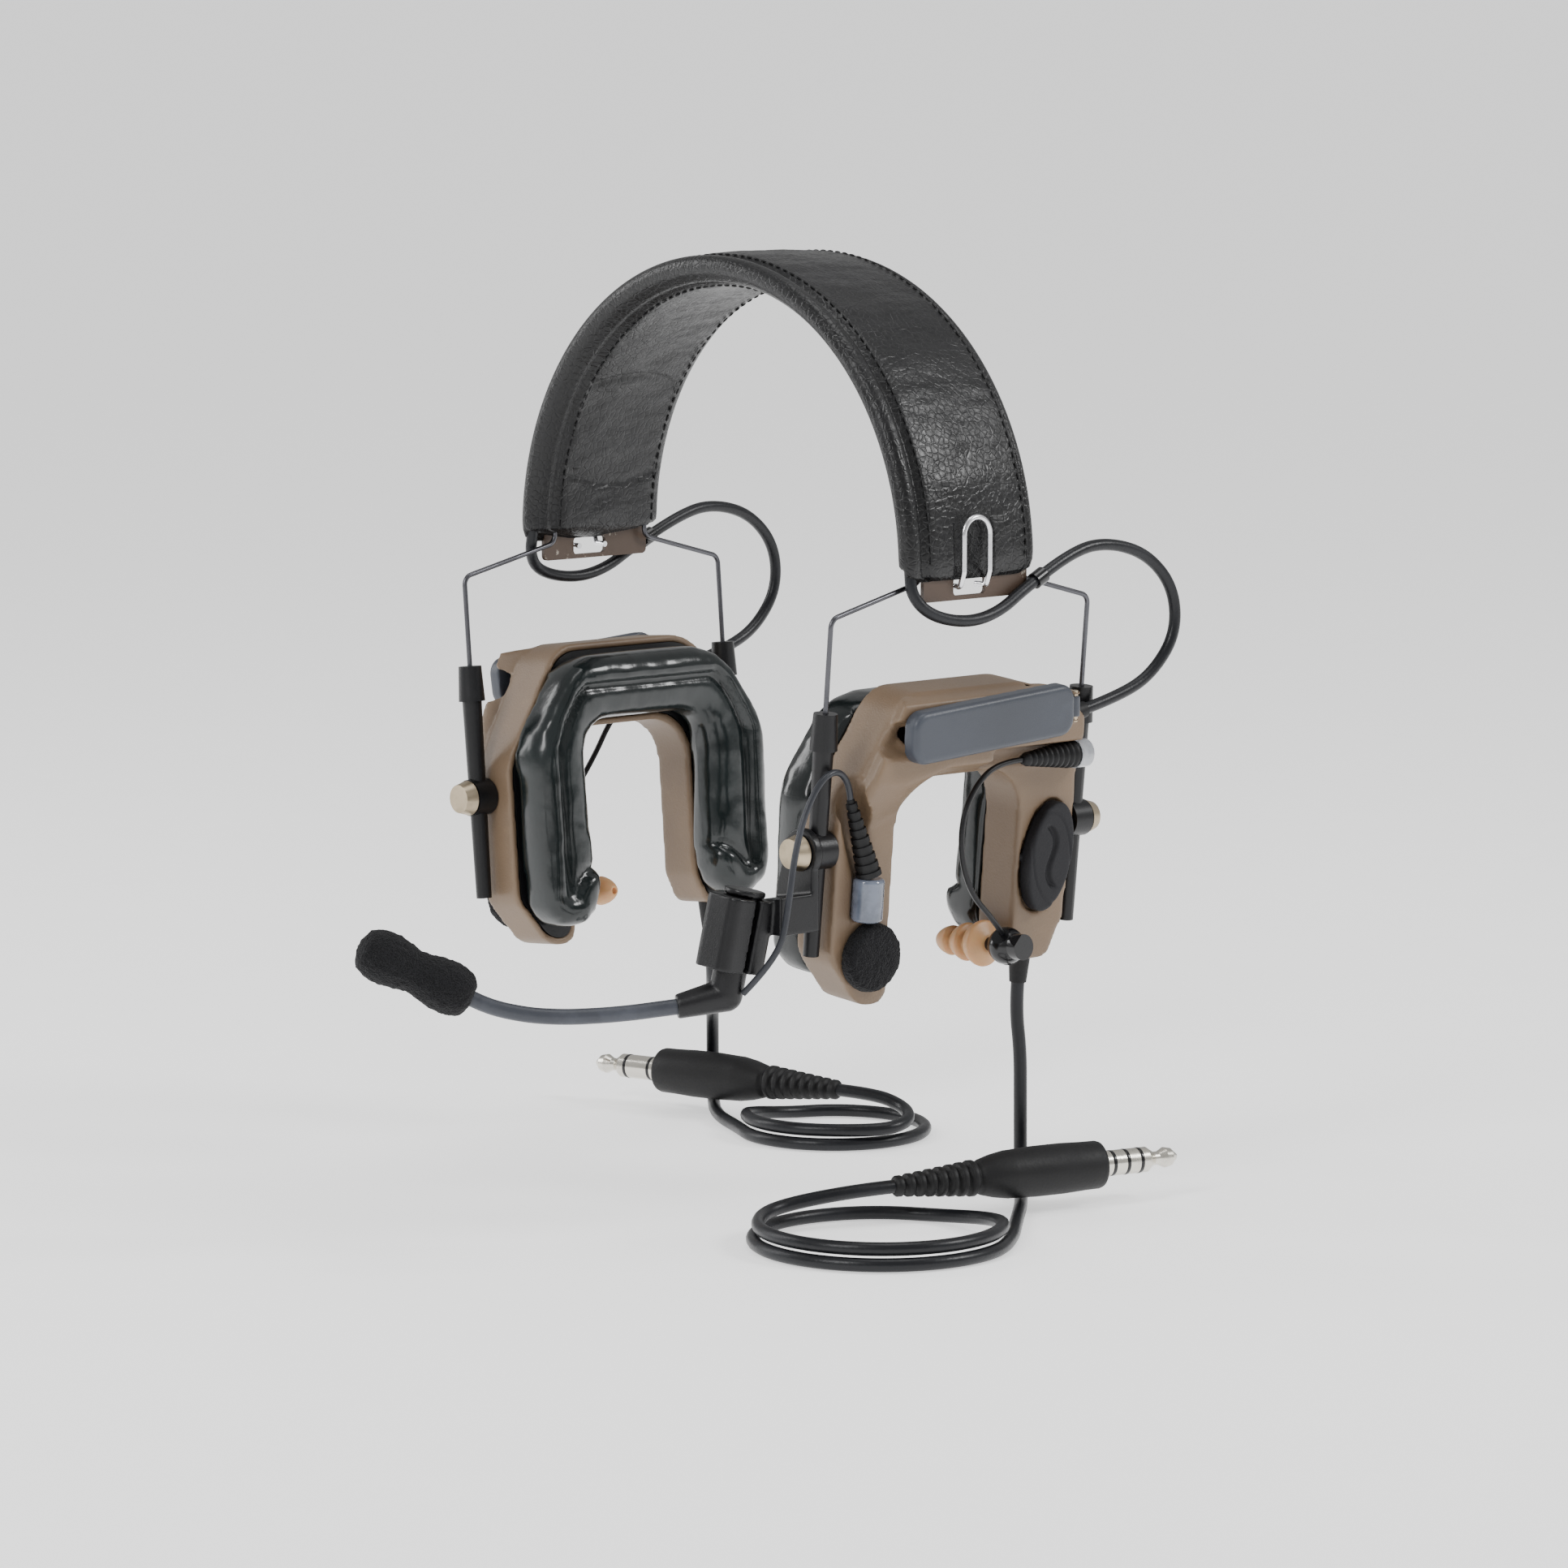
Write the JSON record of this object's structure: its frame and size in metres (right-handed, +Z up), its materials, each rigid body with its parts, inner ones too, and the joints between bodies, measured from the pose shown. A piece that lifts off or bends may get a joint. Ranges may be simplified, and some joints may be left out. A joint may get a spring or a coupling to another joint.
{
  "type": "radio headphones",
  "caption": "Radio headset with a leather headband, two open U-shaped ear cups, in-ear tips, a gooseneck boom microphone and coiled plug leads.",
  "frame": {"origin": "middle of the headband's underside, where it rests on the head", "axes": "+X the wearer's left, -Y the wearer's front, +Z up"},
  "size_m": [0.2521, 0.2437, 0.2618],
  "materials": {
    "leather": "grained, soft sheen",
    "padding": "matt",
    "spring_steel": "dark steel wire",
    "plate_paint": "satin brown",
    "bright_wire": "bright",
    "cable_jacket": "satin",
    "black_rubber": "matt",
    "key_rubber": "matt",
    "black_plastic": "fine grain",
    "foam": "open-cell foam",
    "smoke_plastic": "translucent grey",
    "pin_metal": "satin olive",
    "shell_plastic": "fine spray grain",
    "board": "lacquered",
    "battery_metal": "satin sleeve",
    "cover_plastic": "satin",
    "cushion_vinyl": "glossy vinyl",
    "gloss_black": "gloss",
    "tip_rubber": "translucent silicone",
    "plug_metal": "nickel"
  },
  "bodies": {
    "headband": {"band_cover": "leather", "band_pad": "padding", "front_spring_wire": "spring_steel", "rear_spring_wire": "spring_steel", "end_plates": "plate_paint", "wire_clips": "bright_wire", "crossover_cable": "cable_jacket", "cable_ties": "black_rubber", "left_loop_cable": "cable_jacket", "right_loop_cable": "cable_jacket"},
    "left_slider": {"left_sleeves": "black_plastic", "left_sleeve_heads": "black_rubber"},
    "right_slider": {"right_sleeves": "black_plastic", "right_sleeve_heads": "black_rubber"},
    "left_cup": {"left_pins": "pin_metal", "left_shell": "shell_plastic", "left_back_plate": "black_plastic", "left_plate_screws": "pin_metal", "left_circuit_board": "board", "left_battery": "battery_metal", "left_cushion": "cushion_vinyl", "left_ambient_mic_foam": "foam", "left_earplug_connector": "bright_wire", "left_earplug_relief": "black_rubber", "left_cable_glands": "black_rubber", "left_earplug_cable": "cable_jacket", "left_earplug_body": "gloss_black", "left_ear_tip": "tip_rubber", "left_lead": "cable_jacket", "left_plug_body": "black_rubber", "left_plug_pin": "plug_metal", "mic_plug": "smoke_plastic", "mic_relief": "black_rubber", "mic_cable": "cable_jacket"},
    "right_cup": {"right_pins": "pin_metal", "right_shell": "shell_plastic", "right_back_plate": "black_plastic", "right_plate_screws": "pin_metal", "right_circuit_board": "board", "right_battery": "battery_metal", "right_cushion": "cushion_vinyl", "right_ambient_mic_foam": "foam", "right_earplug_connector": "bright_wire", "right_earplug_relief": "black_rubber", "right_cable_glands": "black_rubber", "right_earplug_cable": "cable_jacket", "right_earplug_body": "gloss_black", "right_ear_tip": "tip_rubber", "right_lead": "cable_jacket", "right_plug_body": "black_rubber", "right_plug_pin": "plug_metal"},
    "left_battery_door": {"left_battery_cover": "cover_plastic"},
    "right_battery_door": {"right_battery_cover": "cover_plastic"},
    "keypad_rocker": {"keypad": "key_rubber"},
    "bracket": {"boom_bracket": "black_plastic"},
    "boom": {"boom_leg": "black_plastic", "gooseneck": "cable_jacket", "mic_capsule": "black_plastic", "windscreen": "foam"}
  },
  "joints": [
    {"name": "left_slide", "type": "slide", "parent": "headband", "child": "left_slider", "axis": [0.0872, 0, 0.9962], "range_m": [-0.014, 0.012], "deforming": ["left_loop_cable"]},
    {"name": "left_cup_hinge", "type": "hinge", "parent": "left_slider", "child": "left_cup", "pos_m": [0.07205, 0, -0.14755], "axis": [0, 1, 0], "range_deg": [-10, 10]},
    {"name": "right_slide", "type": "slide", "parent": "headband", "child": "right_slider", "axis": [-0.0872, 0, 0.9962], "range_m": [-0.014, 0.012], "deforming": ["right_loop_cable"]},
    {"name": "right_cup_hinge", "type": "hinge", "parent": "right_slider", "child": "right_cup", "pos_m": [-0.07205, 0, -0.14755], "axis": [0, 1, 0], "range_deg": [-10, 10]},
    {"name": "left_battery_door_hinge", "type": "hinge", "parent": "left_cup", "child": "left_battery_door", "pos_m": [0.08787, 0.03302, -0.11356], "axis": [0.0869, -0.0698, 0.9938], "range_deg": [0, 100]},
    {"name": "right_battery_door_hinge", "type": "hinge", "parent": "right_cup", "child": "right_battery_door", "pos_m": [-0.08787, 0.03302, -0.11356], "axis": [0.0869, 0.0698, -0.9938], "range_deg": [0, 100]},
    {"name": "keypad_rock", "type": "hinge", "parent": "left_cup", "child": "keypad_rocker", "pos_m": [0.0738, 0.034, -0.15624], "axis": [0, 1, 0], "range_deg": [-3, 3], "stiffness_Nm_per_rad": 0.2},
    {"name": "bracket_hinge", "type": "hinge", "parent": "left_slider", "child": "bracket", "pos_m": [0.07205, -0.0518, -0.14755], "axis": [0, 1, 0], "range_deg": [-15, 40], "deforming": ["mic_cable"]},
    {"name": "boom_turn", "type": "hinge", "parent": "bracket", "child": "boom", "pos_m": [0.068, -0.0705, -0.157], "axis": [0.0857, 0.1713, 0.9815], "range_deg": [-25, 60]}
  ]
}
